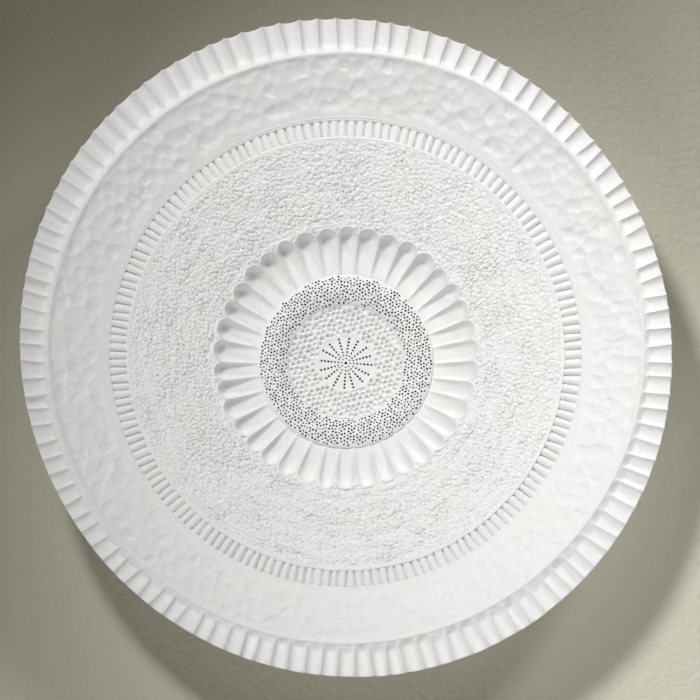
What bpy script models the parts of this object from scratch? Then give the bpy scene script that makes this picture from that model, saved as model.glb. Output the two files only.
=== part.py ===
"""Round ceramic wall disc, pressed by hand in relief from one slab of pale clay.

Run it with Blender: blender --background --python part.py, or from the text editor.

The disc is one fired piece. It hangs on a wall with its face towards -Y and the flat foot on
its back against the plane y = 0, whose centre is the origin. The face is a shallow dish made
of concentric bands. From the centre outwards they are a flat medallion, a dimpled hollow,
a raised pricked ring, long petals scooped out of the clay, a grained field, a ring of
narrow reeds, a hammered slope and a rim of concave flutes. The back follows the face.

Every band has its own width and its own rise, so the sizes of the whole disc are their sums.
All lengths are in metres.
"""

import math
from dataclasses import dataclass

import bmesh
import bpy

# Widths of the bands of the face, from the centre to the edge
MEDALLION_RADIUS = 0.0170
DIMPLED_WIDTH = 0.0181
PRICKED_WIDTH = 0.0185
PETAL_LENGTH = 0.0272
GRAINED_WIDTH = 0.0519
REED_LENGTH = 0.0122
HAMMERED_WIDTH = 0.0366
RIM_WIDTH = 0.0185

# How far each band rises from its inner edge to its outer edge, away from the wall
DIMPLED_RISE = 0.0025
PRICKED_RISE = 0.0025
PETAL_RISE = 0.0117
GRAINED_RISE = 0.0138
REED_RISE = 0.0006
HAMMERED_RISE = 0.0197
RIM_RISE = 0.0048

# Relief within the bands
MEDALLION_STEP = 0.0004
PRICKED_CROWN = 0.0033
PETAL_PITCH = 0.01336
PETAL_DEPTH = 0.0060
REED_PITCH = 0.00513
REED_DEPTH = 0.0018
REED_LIP = 0.0014
FLUTE_PITCH = 0.01016
FLUTE_DEPTH = 0.0034
FLUTE_STEP = 0.0030
STEP_WIDTH = 0.0010
EDGE_SCALLOP = 0.0006

# Shapes of the hollows, as shares of a petal's length or depth, a reed's depth and the rim
PETAL_DEEPEST_AT = 0.72
PETAL_START_DEPTH = 0.08
PETAL_RISE_POWER = 1.3
PETAL_END_POWER = 3
REED_BED = 0.3
REED_ROUNDNESS = 0.7
COVE_WIDTH = 0.4
COVE_RISE = 0.1

# Where the rings of points lie across the pricked ring and along the petals
CROWN_RINGS = (0.2, 0.5, 0.8)
PETAL_RINGS = (0.0, 0.35, PETAL_DEEPEST_AT, 0.93, 1.0)

# The clay and the back
CENTRE_THICKNESS = 0.0080
WALL_THICKNESS = 0.0070
EDGE_THICKNESS = 0.0030
EDGE_UNDERCUT = 0.0012
FOOT_RADIUS = 0.0480

# The hand's departures from a true circle and an even spacing
BAND_OVAL = 0.0011
BAND_OVAL_ANGLE = math.radians(90.0)
RIM_OVAL = 0.0042
RIM_OVAL_ANGLE = math.radians(-69.5)
FLUTE_CROWDING = 0.053
FLUTE_CROWDED_AT = math.radians(-90.0)
REED_CROWDING = 0.057
REED_CROWDED_AT = math.radians(-151.0)

# Points around each repeat of a pattern, and around the plain rings
FLUTE_STEPS = 3
REED_STEPS = 3
PETAL_STEPS = 4
PLAIN_STEPS = 96
CENTRE_STEPS = 48

CLAY_COLOUR = (0.80, 0.79, 0.765, 1.0)
CLAY_ROUGHNESS = 0.85
SHARP_ANGLE = math.radians(25.0)

TURN = 2.0 * math.pi

# Radii of the joins between the bands
DIMPLED_OUTER = MEDALLION_RADIUS + DIMPLED_WIDTH
PRICKED_OUTER = DIMPLED_OUTER + PRICKED_WIDTH
PETAL_OUTER = PRICKED_OUTER + PETAL_LENGTH
GRAINED_OUTER = PETAL_OUTER + GRAINED_WIDTH
REED_OUTER = GRAINED_OUTER + REED_LENGTH
HAMMERED_OUTER = REED_OUTER + HAMMERED_WIDTH
RIM_OUTER = HAMMERED_OUTER + RIM_WIDTH

# Heights of the face above the wall at the joins
DIMPLED_TOP = CENTRE_THICKNESS + DIMPLED_RISE
PRICKED_TOP = DIMPLED_TOP + PRICKED_RISE
PETAL_TOP = PRICKED_TOP + PETAL_RISE
GRAINED_TOP = PETAL_TOP + GRAINED_RISE
REED_TOP = GRAINED_TOP + REED_RISE
HAMMERED_TOP = REED_TOP + HAMMERED_RISE
RIM_TOP = HAMMERED_TOP + RIM_RISE


@dataclass
class Ring:
    """One ring of points around the axis, and the angle of each point."""

    angles: list
    points: list


def repeats(pitch, radius):
    """Number of repeats of a pattern that fit around a circle of this radius."""
    return max(3, round(TURN * radius / pitch))


def pattern_angles(count, steps, crowding=0.0, crowded_at=0.0):
    """Angles of a pattern's points, set closer together around one side of the disc."""
    angles = []
    for index in range(count * steps):
        even = TURN * index / (count * steps)
        angles.append(even - crowding * math.sin(even - crowded_at))
    return angles


def oval(radius, angle):
    """Radius of a point once the disc is pressed slightly out of round."""
    bands = BAND_OVAL * min(radius, HAMMERED_OUTER) / HAMMERED_OUTER
    bands *= math.cos(2.0 * (angle - BAND_OVAL_ANGLE))
    across_rim = max(0.0, radius - HAMMERED_OUTER) / RIM_WIDTH
    rim = RIM_OVAL * math.cos(2.0 * (angle - RIM_OVAL_ANGLE))
    return radius + bands * (1.0 - across_rim) + rim * across_rim


def add_ring(mesh, angles, radii, heights):
    """Add a ring of points at these radii from the axis and heights above the wall."""
    points = []
    for angle, radius, height in zip(angles, radii, heights):
        reach = oval(radius, angle)
        points.append(mesh.verts.new((reach * math.cos(angle), -height, reach * math.sin(angle))))
    return Ring(angles, points)


def plain_ring(mesh, steps, radius, height):
    """Add a ring of even points at one radius and one height."""
    angles = pattern_angles(steps, 1)
    return add_ring(mesh, angles, [radius] * steps, [height] * steps)


def relief_ring(mesh, angles, steps, radius, height, drop, inset=0.0):
    """Add a ring whose points sink by a drop, a function of the place within a repeat.

    The point at the start of each repeat has place 0. Inset draws the sunk points in
    towards the axis.
    """
    places = [(index % steps) / steps for index in range(len(angles))]
    radii = [radius - inset * hollow(place) for place in places]
    heights = [height - drop(place) for place in places]
    return add_ring(mesh, angles, radii, heights)


def hollow(place):
    """Depth of a round-bottomed hollow between two sharp crests, from 0 to 1."""
    return 1.0 - (2.0 * place - 1.0) ** 2


def groove(place):
    """Depth beside a rounded reed: 1 in the groove at its start, near 0 along its back."""
    return 1.0 - math.sin(math.pi * place) ** REED_ROUNDNESS


def bridge(mesh, inner, outer):
    """Close the strip between two rings with triangles, whatever their numbers of points."""
    inner_count, outer_count = len(inner.points), len(outer.points)

    def angle_of(ring, index):
        turns, place = divmod(index, len(ring.angles))
        return ring.angles[place] + TURN * turns

    def gap(index):
        return abs(math.remainder(outer.angles[index] - inner.angles[0], TURN))

    start = min(range(outer_count), key=gap)
    drift = outer.angles[start] - inner.angles[0]
    drift -= math.remainder(drift, TURN)
    i, j = 0, start
    while i < inner_count or j < start + outer_count:
        here = inner.points[i % inner_count]
        across = outer.points[j % outer_count]
        next_inner = angle_of(inner, i + 1) + drift
        next_outer = angle_of(outer, j + 1)
        if j == start + outer_count or (i < inner_count and next_inner <= next_outer):
            mesh.faces.new((here, across, inner.points[(i + 1) % inner_count]))
            i += 1
        else:
            mesh.faces.new((here, across, outer.points[(j + 1) % outer_count]))
            j += 1


def centre_rings(mesh):
    """Flat medallion, the small step around it, the dimpled hollow and the pricked ring."""
    rings = [plain_ring(mesh, CENTRE_STEPS, MEDALLION_RADIUS, CENTRE_THICKNESS - MEDALLION_STEP)]
    rings.append(plain_ring(mesh, CENTRE_STEPS, MEDALLION_RADIUS + MEDALLION_STEP, CENTRE_THICKNESS))
    rings.append(plain_ring(mesh, PLAIN_STEPS, DIMPLED_OUTER, DIMPLED_TOP))
    for share in CROWN_RINGS:
        crown = PRICKED_CROWN * math.sin(math.pi * share)
        height = DIMPLED_TOP + PRICKED_RISE * share + crown
        rings.append(plain_ring(mesh, PLAIN_STEPS, DIMPLED_OUTER + PRICKED_WIDTH * share, height))
    return rings


def petal_floor(share):
    """Depth of a petal's floor below its ridges, at a share of its length from the centre."""
    rise = math.sin(0.5 * math.pi * min(1.0, share / PETAL_DEEPEST_AT)) ** PETAL_RISE_POWER
    beyond = max(0.0, share - PETAL_DEEPEST_AT) / (1.0 - PETAL_DEEPEST_AT)
    sunk = PETAL_START_DEPTH + (1.0 - PETAL_START_DEPTH) * rise
    return PETAL_DEPTH * sunk * (1.0 - beyond ** PETAL_END_POWER)


def petal_rings(mesh):
    """Long scooped petals, deepest near their steep outer ends."""
    angles = pattern_angles(repeats(PETAL_PITCH, PETAL_OUTER), PETAL_STEPS)
    rings = []
    for share in PETAL_RINGS:
        depth = petal_floor(share)
        radius = PRICKED_OUTER + PETAL_LENGTH * share
        height = PRICKED_TOP + PETAL_RISE * share
        rings.append(relief_ring(mesh, angles, PETAL_STEPS, radius, height,
                                 lambda place: depth * hollow(place)))
    return rings


def grained_ring(mesh):
    """The middle of the grained field, which swells slightly."""
    height = 0.5 * (PETAL_TOP + GRAINED_TOP)
    return plain_ring(mesh, PLAIN_STEPS, 0.5 * (PETAL_OUTER + GRAINED_OUTER), height)


def reed_rings(mesh):
    """Ring of narrow rounded reeds, sunk between two plain lips."""
    count = repeats(REED_PITCH, 0.5 * (GRAINED_OUTER + REED_OUTER))
    angles = pattern_angles(count, REED_STEPS, REED_CROWDING, REED_CROWDED_AT)
    lips = pattern_angles(count, 1, REED_CROWDING, REED_CROWDED_AT)

    def lip(radius, height):
        return add_ring(mesh, lips, [radius] * count, [height] * count)

    def sunk(place):
        return REED_DEPTH * (REED_BED + (1.0 - REED_BED) * groove(place))

    return [
        lip(GRAINED_OUTER, GRAINED_TOP),
        relief_ring(mesh, angles, REED_STEPS, GRAINED_OUTER + REED_LIP, GRAINED_TOP, sunk),
        relief_ring(mesh, angles, REED_STEPS, REED_OUTER - REED_LIP, REED_TOP, sunk),
        lip(REED_OUTER, REED_TOP),
    ]


def rim_rings(mesh):
    """Lip of the hammered slope, the concave flutes of the rim and the sharp outer edge."""
    count = repeats(FLUTE_PITCH, 0.5 * (HAMMERED_OUTER + RIM_OUTER))
    angles = pattern_angles(count, FLUTE_STEPS, FLUTE_CROWDING, FLUTE_CROWDED_AT)
    lips = pattern_angles(count, 1, FLUTE_CROWDING, FLUTE_CROWDED_AT)
    sunk_step = FLUTE_STEP / hollow(1.0 / FLUTE_STEPS)
    sunk_edge = FLUTE_DEPTH / hollow(1.0 / FLUTE_STEPS)
    cove_height = HAMMERED_TOP + COVE_RISE * RIM_RISE
    return [
        plain_ring(mesh, PLAIN_STEPS, 0.5 * (REED_OUTER + HAMMERED_OUTER),
                   0.5 * (REED_TOP + HAMMERED_TOP)),
        add_ring(mesh, lips, [HAMMERED_OUTER] * count, [HAMMERED_TOP] * count),
        relief_ring(mesh, angles, FLUTE_STEPS, HAMMERED_OUTER + STEP_WIDTH, HAMMERED_TOP,
                    lambda place: sunk_step * hollow(place)),
        relief_ring(mesh, angles, FLUTE_STEPS, HAMMERED_OUTER + COVE_WIDTH * RIM_WIDTH, cove_height,
                    lambda place: sunk_step * hollow(place)),
        relief_ring(mesh, angles, FLUTE_STEPS, RIM_OUTER, RIM_TOP,
                    lambda place: sunk_edge * hollow(place), EDGE_SCALLOP),
        add_ring(mesh, lips, [RIM_OUTER - EDGE_UNDERCUT] * count,
                 [RIM_TOP - FLUTE_DEPTH - EDGE_THICKNESS] * count),
    ]


def back_rings(mesh):
    """The back, a wall's thickness behind the lowest points of the face, down to the foot."""
    petal_radius = PRICKED_OUTER + PETAL_LENGTH * PETAL_DEEPEST_AT
    petal_height = PRICKED_TOP + PETAL_RISE * PETAL_DEEPEST_AT - PETAL_DEPTH
    return [
        plain_ring(mesh, PLAIN_STEPS, HAMMERED_OUTER, HAMMERED_TOP - FLUTE_STEP - WALL_THICKNESS),
        plain_ring(mesh, PLAIN_STEPS, REED_OUTER, REED_TOP - REED_DEPTH - WALL_THICKNESS),
        plain_ring(mesh, PLAIN_STEPS, GRAINED_OUTER, GRAINED_TOP - REED_DEPTH - WALL_THICKNESS),
        plain_ring(mesh, PLAIN_STEPS, petal_radius, petal_height - WALL_THICKNESS),
        plain_ring(mesh, CENTRE_STEPS, FOOT_RADIUS, 0.0),
    ]


def clay_material():
    """Matt, unglazed pale clay."""
    material = bpy.data.materials.new("pale_clay")
    material.use_nodes = True
    shader = material.node_tree.nodes["Principled BSDF"]
    shader.inputs["Base Color"].default_value = CLAY_COLOUR
    shader.inputs["Roughness"].default_value = CLAY_ROUGHNESS
    shader.inputs["Metallic"].default_value = 0.0
    return material


def build_disc():
    """Bridge all the rings into one closed body, from the medallion round to the foot."""
    mesh = bmesh.new()
    rings = centre_rings(mesh)
    rings += petal_rings(mesh)
    rings.append(grained_ring(mesh))
    rings += reed_rings(mesh)
    rings += rim_rings(mesh)
    rings += back_rings(mesh)
    for inner, outer in zip(rings, rings[1:]):
        bridge(mesh, inner, outer)
    mesh.faces.new(rings[0].points)
    mesh.faces.new(rings[-1].points[::-1])
    data = bpy.data.meshes.new("wall_disc")
    mesh.to_mesh(data)
    mesh.free()
    data.shade_smooth()
    data.set_sharp_from_angle(angle=SHARP_ANGLE)
    data.materials.append(clay_material())
    disc = bpy.data.objects.new("wall_disc", data)
    bpy.context.collection.objects.link(disc)
    return disc


for leftover in list(bpy.data.objects):
    bpy.data.objects.remove(leftover, do_unlink=True)

build_disc()
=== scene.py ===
"""The looks of a round ceramic wall disc, pressed by hand in rings of relief.

The disc is one piece of matt, unglazed clay. Its face is a shallow dish of concentric bands, and
each band is spun here as its own ring on the wheel, then pressed, pricked or scooped. The rings
meet at plain circles, so together they show one unbroken piece that stands for the solid.

Lengths are in metres. A point of the disc is given by its radius from the axis, its angle about
the axis and its height in front of the wall, the plane y = 0. The face looks along -Y.
"""

from __future__ import annotations

import logging
import math
from dataclasses import dataclass
from enum import Enum

import bpy
import numpy as np
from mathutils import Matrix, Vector, geometry


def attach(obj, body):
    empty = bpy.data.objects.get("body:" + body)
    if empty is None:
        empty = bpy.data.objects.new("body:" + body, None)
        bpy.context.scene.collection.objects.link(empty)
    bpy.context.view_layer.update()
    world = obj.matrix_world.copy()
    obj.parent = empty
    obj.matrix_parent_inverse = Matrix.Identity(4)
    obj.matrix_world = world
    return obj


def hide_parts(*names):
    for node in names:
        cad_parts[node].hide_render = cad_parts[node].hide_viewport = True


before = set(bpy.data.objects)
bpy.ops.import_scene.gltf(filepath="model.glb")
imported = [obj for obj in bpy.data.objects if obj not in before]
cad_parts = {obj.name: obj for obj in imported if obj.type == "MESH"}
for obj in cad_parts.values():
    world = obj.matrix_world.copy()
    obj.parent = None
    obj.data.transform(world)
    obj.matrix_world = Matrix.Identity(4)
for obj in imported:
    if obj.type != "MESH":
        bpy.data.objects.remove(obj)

LOG = logging.getLogger("wall_disc")
NODE = "wall_disc"
BODY = "root"
TURN = 2.0 * math.pi
MILLIMETRE = 0.001
CHUNK = 8192
Values = np.ndarray
Socket = bpy.types.NodeSocket
Colour = tuple[float, float, float]
Place = tuple[float, float, float]


class Zone(Enum):
    """Part of a ring's cross-section that a point belongs to."""

    FACE = 0
    BACK = 1


class Spot(Enum):
    """Labels of a pricked face's points that lie on no hole: a hole's points bear its number."""

    SURFACE = -1
    INNER_EDGE = -2
    OUTER_EDGE = -3


@dataclass(frozen=True)
class DiscSizes:
    """Widths and rises of the bands, from the centre to the edge, and the hand's departures.

    A band's outer is its outer radius, and its top is the height of the face there.
    """

    medallion_radius: float = 0.0170
    dimpled_width: float = 0.0181
    pricked_width: float = 0.0185
    petal_length: float = 0.0272
    grained_width: float = 0.0519
    reed_length: float = 0.0122
    hammered_width: float = 0.0366
    rim_width: float = 0.0185
    centre_thickness: float = 0.0080
    dimpled_rise: float = 0.0025
    pricked_rise: float = 0.0025
    petal_rise: float = 0.0117
    grained_rise: float = 0.0138
    reed_rise: float = 0.0006
    hammered_rise: float = 0.0197
    rim_rise: float = 0.0048
    wall_thickness: float = 0.0070
    edge_thickness: float = 0.0030
    foot_radius: float = 0.0480
    petal_depth: float = 0.0060
    petal_deep_share: float = 0.72
    reed_depth: float = 0.0018
    flute_depth: float = 0.0034
    flute_step: float = 0.0030
    margin_width: float = 0.0050
    band_oval: float = 0.0011
    band_oval_angle: float = math.radians(90.0)
    rim_oval: float = 0.0042
    rim_oval_angle: float = math.radians(-69.5)
    dimpled_outer: float = medallion_radius + dimpled_width
    pricked_outer: float = dimpled_outer + pricked_width
    petal_outer: float = pricked_outer + petal_length
    grained_outer: float = petal_outer + grained_width
    reed_outer: float = grained_outer + reed_length
    hammered_outer: float = reed_outer + hammered_width
    rim_outer: float = hammered_outer + rim_width
    dimpled_top: float = centre_thickness + dimpled_rise
    pricked_top: float = dimpled_top + pricked_rise
    petal_top: float = pricked_top + petal_rise
    grained_top: float = petal_top + grained_rise
    reed_top: float = grained_top + reed_rise
    hammered_top: float = reed_top + hammered_rise
    rim_top: float = hammered_top + rim_rise

    def plain_height(self, radius: Values) -> Values:
        """Height of the face without its relief.

        Args:
            radius: Radii of the points.

        Returns:
            The heights, joined by straight slopes from band to band.
        """
        joins = (0.0, self.medallion_radius, self.dimpled_outer, self.pricked_outer, self.petal_outer,
                 self.grained_outer, self.reed_outer, self.hammered_outer, self.rim_outer)
        heights = (self.centre_thickness, self.centre_thickness, self.dimpled_top, self.pricked_top,
                   self.petal_top, self.grained_top, self.reed_top, self.hammered_top, self.rim_top)
        return np.interp(radius, joins, heights)

    def back_height(self, radius: Values) -> Values:
        """Height of the back, a wall's thickness behind the lowest points of the face.

        Args:
            radius: Radii of the points.

        Returns:
            The heights, zero on the flat foot.
        """
        deep_radius = self.pricked_outer + self.petal_length * self.petal_deep_share
        deep_height = self.pricked_top + self.petal_rise * self.petal_deep_share - self.petal_depth
        joins = (0.0, self.foot_radius, deep_radius, self.grained_outer, self.reed_outer,
                 self.hammered_outer, self.rim_outer)
        heights = (0.0, 0.0, deep_height - self.wall_thickness,
                   self.grained_top - self.reed_depth - self.wall_thickness,
                   self.reed_top - self.reed_depth - self.wall_thickness,
                   self.hammered_top - self.flute_step - self.wall_thickness,
                   self.rim_top - self.flute_depth - self.edge_thickness)
        return np.interp(radius, joins, heights)

    def oval(self, radius: Values, angle: Values) -> Values:
        """Radius of each point once the disc is pressed slightly out of round.

        Args:
            radius: Radii of the points on the true circle.
            angle: Angles of the points.

        Returns:
            The radii on the finished disc.
        """
        bands = self.band_oval * np.minimum(radius, self.hammered_outer) / self.hammered_outer
        bands = bands * np.cos(2.0 * (angle - self.band_oval_angle))
        across_rim = np.clip((radius - self.hammered_outer) / self.rim_width, 0.0, 1.0)
        rim = self.rim_oval * np.cos(2.0 * (angle - self.rim_oval_angle))
        return radius + bands * (1.0 - across_rim) + rim * across_rim


DISC = DiscSizes()


def smooth(share: Values) -> Values:
    """Soft step from 0 to 1 as the share goes from 0 to 1."""
    held = np.clip(share, 0.0, 1.0)
    return held * held * (3.0 - 2.0 * held)


def between(value: Values, low: float, high: float) -> Values:
    """Soft step from 0 at the low value to 1 at the high one."""
    return smooth((value - low) / (high - low))


def mound(distance: Values, width: float) -> Values:
    """Rounded mound of height 1 at distance 0, falling away over a width."""
    return np.exp(-((distance / width) ** 2))


class ClayNoise:
    """Repeatable unevenness of the clay over the plane of the disc, from one seed."""

    CELLS = 256

    def __init__(self, seed: int) -> None:
        """Fill the tables.

        Args:
            seed: Number that fixes the pattern.
        """
        maker = np.random.RandomState(seed)
        self._shades = maker.rand(4, self.CELLS, self.CELLS)
        self._offsets = maker.rand(2, self.CELLS, self.CELLS)

    def swell(self, x: Values, z: Values, size: float, layer: int = 0) -> Values:
        """Soft swells of about one size.

        Args:
            x: Points' places across.
            z: Points' places up.
            size: Distance between swells.
            layer: Which of the tables to read.

        Returns:
            Values from -1 to 1.
        """
        across, up = x / size, z / size
        column, row = np.floor(across).astype(int), np.floor(up).astype(int)
        right, top = smooth(across - column), smooth(up - row)
        last = self.CELLS - 1
        table = self._shades[layer]
        low = table[column & last, row & last] * (1 - right) + table[(column + 1) & last, row & last] * right
        high = (table[column & last, (row + 1) & last] * (1 - right)
                + table[(column + 1) & last, (row + 1) & last] * right)
        return 2.0 * (low * (1 - top) + high * top) - 1.0

    def rough(self, x: Values, z: Values, size: float, octaves: int = 3) -> Values:
        """Swells with finer ones on top, each half as large and half as high.

        Args:
            x: Points' places across.
            z: Points' places up.
            size: Distance between the largest swells.
            octaves: Number of sizes.

        Returns:
            Values from about -1 to 1.
        """
        total = np.zeros_like(x)
        for octave in range(octaves):
            share = 0.5 ** octave
            turned_x = x * math.cos(octave) - z * math.sin(octave)
            turned_z = x * math.sin(octave) + z * math.cos(octave)
            total += share * self.swell(turned_x, turned_z, size * share, octave % 4)
        return total / (2.0 - 0.5 ** (octaves - 1))

    def lumps(self, x: Values, z: Values, size: float) -> tuple[Values, Values, Values]:
        """Distances to the nearest and second nearest of scattered lumps.

        Args:
            x: Points' places across.
            z: Points' places up.
            size: Distance between lumps.

        Returns:
            The two distances in lump sizes, and a value from 0 to 1 that each lump keeps.
        """
        across, up = x / size, z / size
        column, row = np.floor(across).astype(int), np.floor(up).astype(int)
        nearest, second = np.full(x.shape, 9.0), np.full(x.shape, 9.0)
        kept = np.zeros(x.shape)
        last = self.CELLS - 1
        for step in range(9):
            there_column, there_row = column + step // 3 - 1, row + step % 3 - 1
            place = (there_column & last, there_row & last)
            far = np.hypot(there_column + self._offsets[0][place] - across,
                           there_row + self._offsets[1][place] - up)
            closer = far < nearest
            second = np.where(closer, nearest, np.minimum(second, far))
            kept = np.where(closer, self._shades[0][place], kept)
            nearest = np.where(closer, far, nearest)
        return nearest, second, kept


HAND = ClayNoise(7)


def uneven(radius: Values, angle: Values) -> Values:
    """Slow rise and fall of the whole disc, as hand-pressed clay dries.

    Args:
        radius: Radii of the points.
        angle: Angles of the points.

    Returns:
        Heights to add, zero over the foot.
    """
    share = np.clip((radius - DISC.foot_radius) / (DISC.rim_outer - DISC.foot_radius), 0.0, 1.0)
    wave = 0.45 * np.cos(2.0 * angle + 0.6) + 0.25 * np.cos(3.0 * angle - 1.1) + 0.15 * np.cos(7.0 * angle)
    return MILLIMETRE * wave * share ** 2


def to_polar(points: Values) -> tuple[Values, Values, Values]:
    """Radius, angle from 0 to a full turn, and height of each point.

    Args:
        points: One row of x, y and z for each point.

    Returns:
        The three measures of the points.
    """
    radius = np.hypot(points[:, 0], points[:, 2])
    angle = np.mod(np.arctan2(points[:, 2], points[:, 0]), TURN)
    return radius, angle, -points[:, 1]


def to_points(radius: Values, angle: Values, height: Values) -> Values:
    """Points of the finished disc: pressed out of round, uneven, and in place.

    Args:
        radius: Radii on the true circle.
        angle: Angles about the axis.
        height: Heights in front of the wall.

    Returns:
        One row of x, y and z for each point.
    """
    reach = DISC.oval(radius, angle)
    rise = height + uneven(radius, angle)
    return np.stack([reach * np.cos(angle), -rise, reach * np.sin(angle)], axis=1)


def read_points(piece: bpy.types.Object) -> Values:
    """Every vertex of a piece, one row each.

    Args:
        piece: The piece.

    Returns:
        The vertices' places.
    """
    points = np.empty(len(piece.data.vertices) * 3)
    piece.data.vertices.foreach_get("co", points)
    return points.reshape(-1, 3)


def write_points(piece: bpy.types.Object, points: Values) -> None:
    """Put every vertex of a piece at its row."""
    piece.data.vertices.foreach_set("co", points.ravel())
    piece.data.update()


def face_out(piece: bpy.types.Object) -> None:
    """Turn a closed piece's faces outwards.

    Args:
        piece: The piece, which is closed.
    """
    points = read_points(piece)
    piece.data.calc_loop_triangles()
    corners = np.empty(len(piece.data.loop_triangles) * 3, dtype=np.int64)
    piece.data.loop_triangles.foreach_get("vertices", corners)
    first, second, third = points[corners.reshape(-1, 3)].transpose(1, 0, 2)
    if np.einsum("ij,ij->i", first, np.cross(second, third)).sum() < 0.0:
        piece.data.flip_normals()


def pick(piece: bpy.types.Object) -> None:
    """Select one piece alone and make it the active one.

    Args:
        piece: The piece.
    """
    bpy.ops.object.select_all(action="DESELECT")
    bpy.context.view_layer.objects.active = piece
    piece.select_set(True)


def smooth_off(piece: bpy.types.Object, sharp: float) -> None:
    """Shade a piece smooth, but for edges sharper than an angle in degrees."""
    pick(piece)
    bpy.ops.object.shade_smooth_by_angle(angle=math.radians(sharp), keep_sharp_edges=True)


def spin_section(name: str, section: Values, steps: int) -> bpy.types.Object:
    """Spin a closed cross-section about the disc's axis, as on a wheel.

    Args:
        name: Name of the piece.
        section: Radius and height of each point around the cross-section.
        steps: Number of steps around the axis.

    Returns:
        The closed ring.
    """
    bpy.ops.object.select_all(action="DESELECT")
    bpy.ops.mesh.primitive_circle_add(vertices=len(section), radius=DISC.rim_outer, fill_type="NOTHING")
    piece = bpy.context.active_object
    piece.name = piece.data.name = name
    write_points(piece, np.stack([section[:, 0], -section[:, 1], np.zeros(len(section))], axis=1))
    wheel = piece.modifiers.new("wheel", "SCREW")
    wheel.axis = "Y"
    wheel.angle = TURN
    wheel.steps = wheel.render_steps = steps
    wheel.use_merge_vertices = True
    wheel.merge_threshold = 0.001 * MILLIMETRE
    bpy.ops.object.modifier_apply(modifier=wheel.name)
    return piece


@dataclass
class Face:
    """Points of a band's face while it is pressed: one value of each measure for each point.

    The even angle is the point's angle before the pattern was spaced by hand.
    """

    radius: Values
    even: Values
    angle: Values
    height: Values

    def flat(self) -> tuple[Values, Values]:
        """Places of the points across and up."""
        return self.radius * np.cos(self.angle), self.radius * np.sin(self.angle)


@dataclass(frozen=True)
class Band:
    """One ring of the disc: a spun cross-section whose face is then pressed."""

    name: str
    steps: int
    sharp: float = 50.0

    def face_radii(self) -> Values:
        """Radii of the cross-section's points on the face, from the inside out."""
        raise NotImplementedError

    def back_radii(self) -> Values:
        """Radii of the cross-section's points on the back, from the inside out."""
        radii = self.face_radii()
        return np.linspace(radii[0], radii[-1], 4)

    def section(self) -> tuple[Values, Values]:
        """Cross-section of the ring.

        Returns:
            Radius and height of each point around it, and the zone of each point.
        """
        face, back = self.face_radii(), self.back_radii()[::-1]
        radii = np.concatenate([face, back])
        heights = np.concatenate([DISC.plain_height(face), DISC.back_height(back)])
        zones = np.array([Zone.FACE.value] * len(face) + [Zone.BACK.value] * len(back))
        return np.stack([radii, heights], axis=1), zones

    def turn(self, radius: Values, angle: Values) -> Values:
        """Angles of all the ring's points once the pattern is spaced by hand."""
        return angle

    def press(self, face: Face) -> None:
        """Press the pattern into the face."""
        raise NotImplementedError

    def build(self) -> bpy.types.Object:
        """Spin the ring, press its face and shade it.

        Returns:
            The finished piece.
        """
        section, zones = self.section()
        piece = spin_section(self.name, section, self.steps)
        radius, even, height = to_polar(read_points(piece))
        step = TURN / self.steps
        even = np.mod(np.round(even / step), self.steps) * step
        gap = np.abs(radius[:, None] - section[:, 0]) + np.abs(height[:, None] - section[:, 1])
        nearest = gap.argmin(axis=1)
        radius, height = section[nearest, 0], section[nearest, 1]
        angle = self.turn(radius, even)
        on_face = zones[nearest] == Zone.FACE.value
        face = Face(radius[on_face], even[on_face], angle[on_face], height[on_face])
        self.press(face)
        radius[on_face], height[on_face] = face.radius, face.height
        write_points(piece, to_points(radius, angle, height))
        face_out(piece)
        smooth_off(piece, self.sharp)
        return piece


@dataclass(frozen=True)
class Spacing:
    """How a hand spaces the repeats of a pattern around the disc."""

    count: int
    crowding: float
    crowded_at: float
    wander: float
    seed: int

    def starts(self) -> Values:
        """Angle at which each repeat starts, and one more to close the turn.

        Returns:
            The angles, in order.
        """
        even = TURN * np.arange(self.count) / self.count
        starts = even - self.crowding * np.sin(even - self.crowded_at)
        drift = np.random.RandomState(self.seed).uniform(-1.0, 1.0, self.count)
        starts += self.wander * drift * TURN / self.count
        return np.append(starts, starts[0] + TURN)

    def place(self, even: Values) -> tuple[Values, Values]:
        """Which repeat each point is in, and how far across it.

        Args:
            even: Angles of the points before spacing.

        Returns:
            The repeat's number and the share across it, from 0 to 1.
        """
        along = even / TURN * self.count
        number = np.floor(along + 1e-6).astype(int) % self.count
        return number, np.clip(along - np.floor(along + 1e-6), 0.0, 1.0)

    def angles(self, even: Values) -> Values:
        """Angles of the points after spacing.

        Args:
            even: Angles of the points before spacing.

        Returns:
            The angles.
        """
        number, share = self.place(even)
        starts = self.starts()
        return starts[number] + share * (starts[number + 1] - starts[number])

    def vary(self, even: Values, spread: float, seed: int) -> Values:
        """A value that each repeat keeps, from 1 - spread to 1 + spread."""
        number, _ = self.place(even)
        return 1.0 + np.random.RandomState(self.seed + seed).uniform(-spread, spread, self.count)[number]

    def vary_crest(self, even: Values, spread: float, seed: int) -> Values:
        """A value that each crest between two repeats keeps, blended across the repeats.

        Args:
            even: Angles of the points before spacing.
            spread: Largest value.
            seed: Number that fixes the values.

        Returns:
            One value for each point.
        """
        number, share = self.place(even)
        crests = np.random.RandomState(self.seed + seed).uniform(-spread, spread, self.count)
        crests = np.append(crests, crests[0])
        return crests[number] * (1.0 - share) + crests[number + 1] * share

    def slant(self, even: Values, spread: float) -> Values:
        """Angle that each crest leans by over the ring's width, at most this share of a repeat."""
        return self.vary_crest(even, spread, 1) * TURN / self.count


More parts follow.
